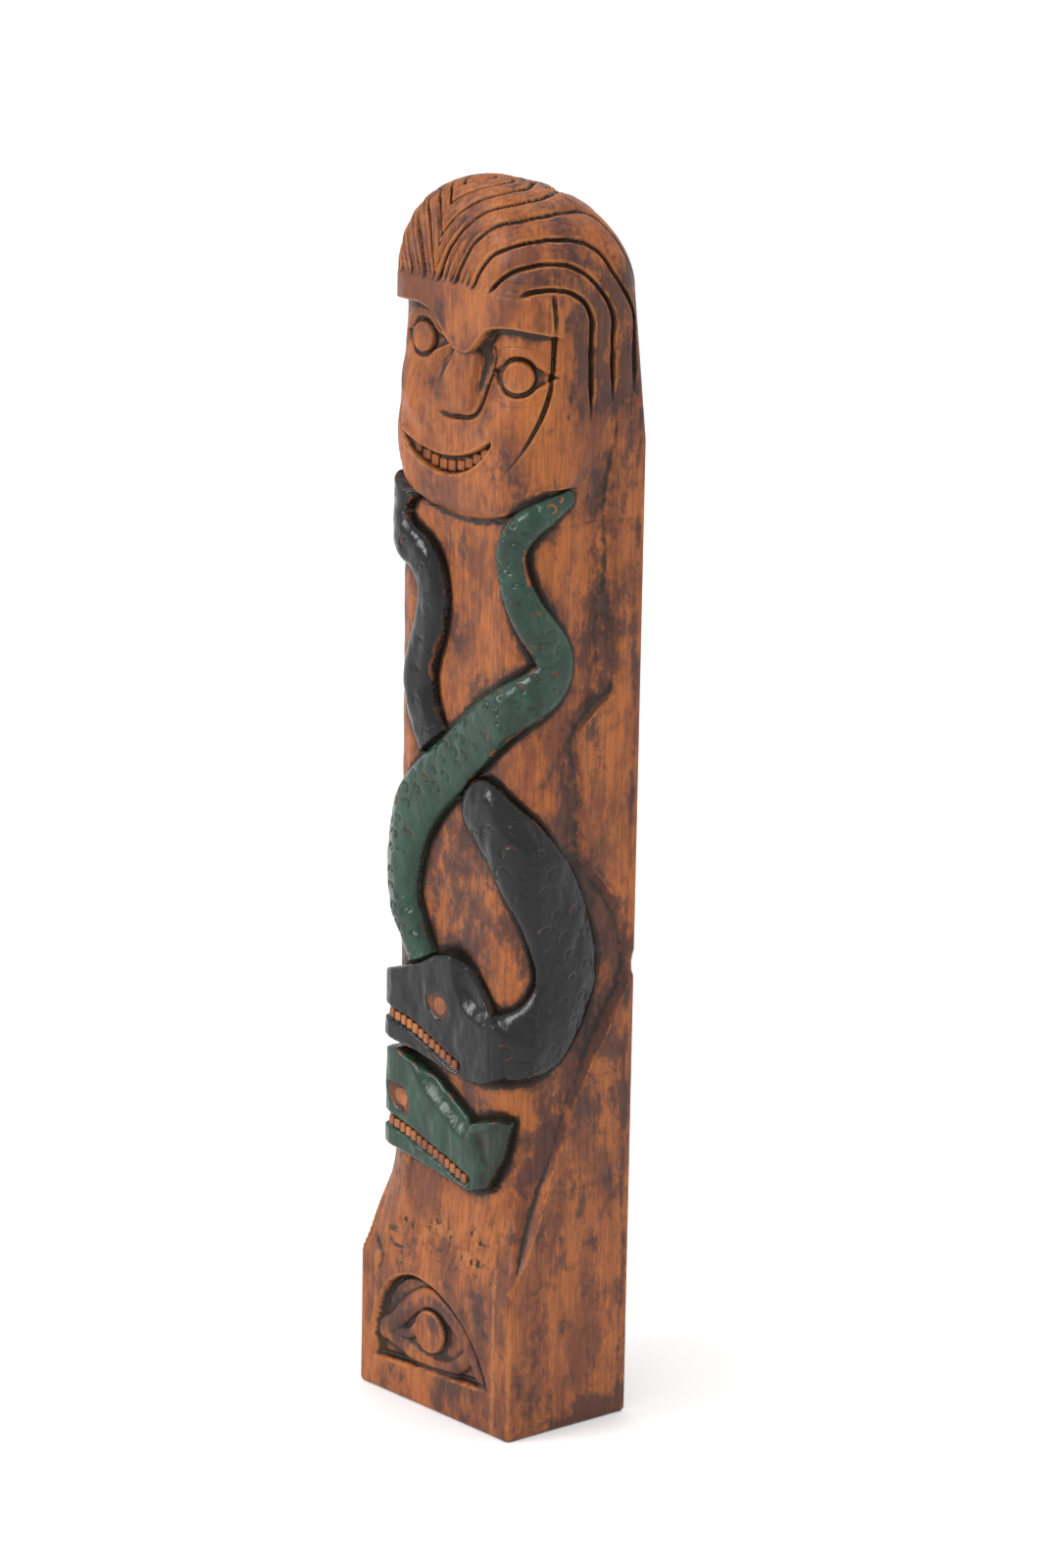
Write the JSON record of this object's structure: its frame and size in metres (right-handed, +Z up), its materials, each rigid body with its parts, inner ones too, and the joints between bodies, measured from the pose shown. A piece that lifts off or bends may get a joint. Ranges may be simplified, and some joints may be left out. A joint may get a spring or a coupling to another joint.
{
  "type": "carved figure post",
  "caption": "Free-standing carved wooden post: a grinning head above two entwined painted snakes, on a plinth with a carved eye.",
  "frame": {"origin": "middle of the foot, on the surface that the post stands on", "axes": "+Z up the post, -Y is the carved front, +X to the right of someone who faces the carving"},
  "size_m": [0.075, 0.05, 0.4],
  "materials": {
    "stained_wood": "satin stain and wax, dark in the recesses, worn pale on the arrises",
    "black_paint": "black enamel brushed over carved wood, chipped at the edges",
    "green_paint": "dark green enamel brushed over carved wood, chipped at the edges",
    "bare_wood": "unpainted stained wood"
  },
  "bodies": {
    "root": {"black_snake_coil": "black_paint", "black_snake_eye": "bare_wood", "black_snake_head": "black_paint", "black_snake_jaw": "black_paint", "black_snake_tail": "black_paint", "black_snake_teeth": "bare_wood", "brow_ridge": "stained_wood", "eye_irises": "stained_wood", "eyelids": "stained_wood", "face": "stained_wood", "green_snake_body": "green_paint", "green_snake_eye": "bare_wood", "green_snake_head": "green_paint", "green_snake_jaw": "green_paint", "green_snake_teeth": "bare_wood", "hair_cap": "stained_wood", "head_core": "stained_wood", "mouth_teeth": "stained_wood", "nose": "stained_wood", "plinth": "stained_wood", "plinth_eye_iris": "stained_wood", "plinth_eye_lids": "stained_wood", "shaft": "stained_wood", "side_lock_left": "stained_wood", "side_lock_right": "stained_wood"}
  },
  "joints": []
}
